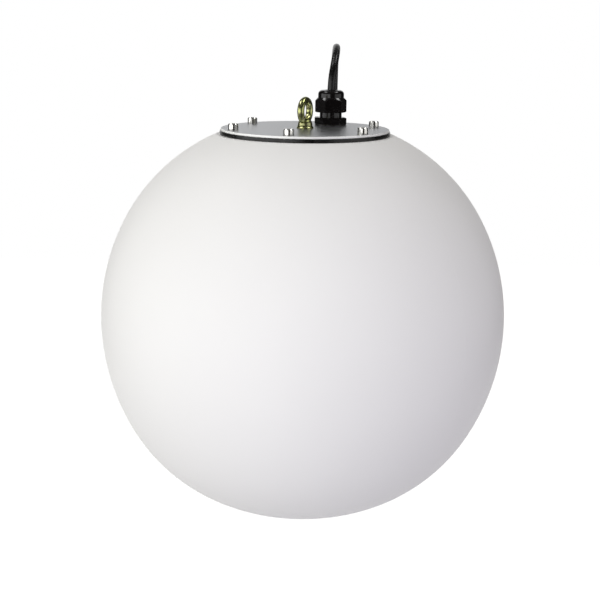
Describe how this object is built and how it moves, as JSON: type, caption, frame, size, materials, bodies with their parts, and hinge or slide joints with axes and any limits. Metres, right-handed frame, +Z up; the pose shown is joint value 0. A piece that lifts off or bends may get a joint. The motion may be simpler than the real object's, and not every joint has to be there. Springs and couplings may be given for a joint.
{
  "type": "hanging globe light",
  "caption": "White opal globe with a flat silver lid on a black gasket, hung by an eye bolt, with a cable gland, mains lead and screw-in lamp.",
  "frame": {"origin": "middle of the hole of the eye bolt on the lid", "axes": "+Z up along the globe's axis, front towards -Y, gland behind the eye and to the right"},
  "size_m": [0.3499, 0.3926, 0.4192],
  "materials": {
    "opal_globe": "white rotomoulded polyethylene, fine satin skin",
    "brass": "turned",
    "gasket_rubber": "black sponge rubber",
    "lid_aluminium": "rolled, semi-gloss",
    "stainless": "turned, passivated",
    "yellow_zinc": "yellow zinc plating",
    "gland_nylon": "black moulded nylon",
    "sealing_rubber": "moulded",
    "zinc_steel": "bright zinc plating",
    "holder_plastic": "black moulded thermoset",
    "holder_ceramic": "glazed steatite",
    "nickel_plate": "rolled, nickel plated",
    "lamp_black_glass": "black glass insulator",
    "lamp_white_plastic": "moulded",
    "lamp_opal": "opal blown plastic",
    "board_white": "white solder resist",
    "led_phosphor": "yellow phosphor",
    "board_green": "green solder resist",
    "driver_black": "potted parts",
    "lead_rubber": "black rubber sheath",
    "core_brown": "extruded",
    "core_blue": "extruded",
    "core_green_yellow": "extruded, two colours",
    "tie_fabric": "black hook and loop strap",
    "plug_rubber": "black moulded"
  },
  "bodies": {
    "light": {"globe_shell": "opal_globe", "rim_inserts": "brass", "plate_gasket": "gasket_rubber", "top_plate": "lid_aluminium", "plate_screws": "stainless", "eye_bolt": "yellow_zinc", "eye_washer": "zinc_steel", "eye_nut": "zinc_steel", "gland_washer": "sealing_rubber", "gland_body": "gland_nylon", "gland_rubber": "sealing_rubber", "gland_lock_nut": "gland_nylon", "lamp_stirrup": "zinc_steel", "plate_studs": "zinc_steel", "stud_nuts": "zinc_steel", "earth_lug": "nickel_plate", "stirrup_nipple": "zinc_steel", "nipple_nuts": "zinc_steel", "lampholder_cap": "holder_plastic", "lampholder_skirt": "holder_plastic", "lampholder_core": "holder_ceramic", "thread_sleeve": "brass", "contact_spring": "brass", "holder_terminals": "brass", "terminal_screws": "zinc_steel", "lead_inside": "lead_rubber", "mains_lead": "lead_rubber", "lead_coil": "lead_rubber", "lead_end": "lead_rubber", "live_core": "core_brown", "neutral_core": "core_blue", "earth_core": "core_green_yellow", "coil_tie": "tie_fabric", "plug_body": "plug_rubber", "plug_pins": "nickel_plate", "plug_earth_clips": "nickel_plate", "plug_earth_socket": "nickel_plate"},
    "dome_nut": {"gland_dome_nut": "gland_nylon"},
    "lamp": {"lamp_contact": "nickel_plate", "lamp_insulator": "lamp_black_glass", "lamp_screw_cap": "nickel_plate", "lamp_housing": "lamp_white_plastic", "led_board": "board_white", "led_chips": "led_phosphor", "driver_board": "board_green", "driver_parts": "driver_black", "lamp_bulb": "lamp_opal"}
  },
  "joints": [
    {"name": "dome_nut_turn", "type": "hinge", "parent": "light", "child": "dome_nut", "pos_m": [0.0223, 0.034, 0], "axis": [0, 0, 1], "range_deg": [0, 360]},
    {"name": "lamp_turn", "type": "hinge", "parent": "light", "child": "lamp", "pos_m": [0, 0, -0.12], "axis": [0, 0, -1], "range_deg": [0, 360]}
  ]
}
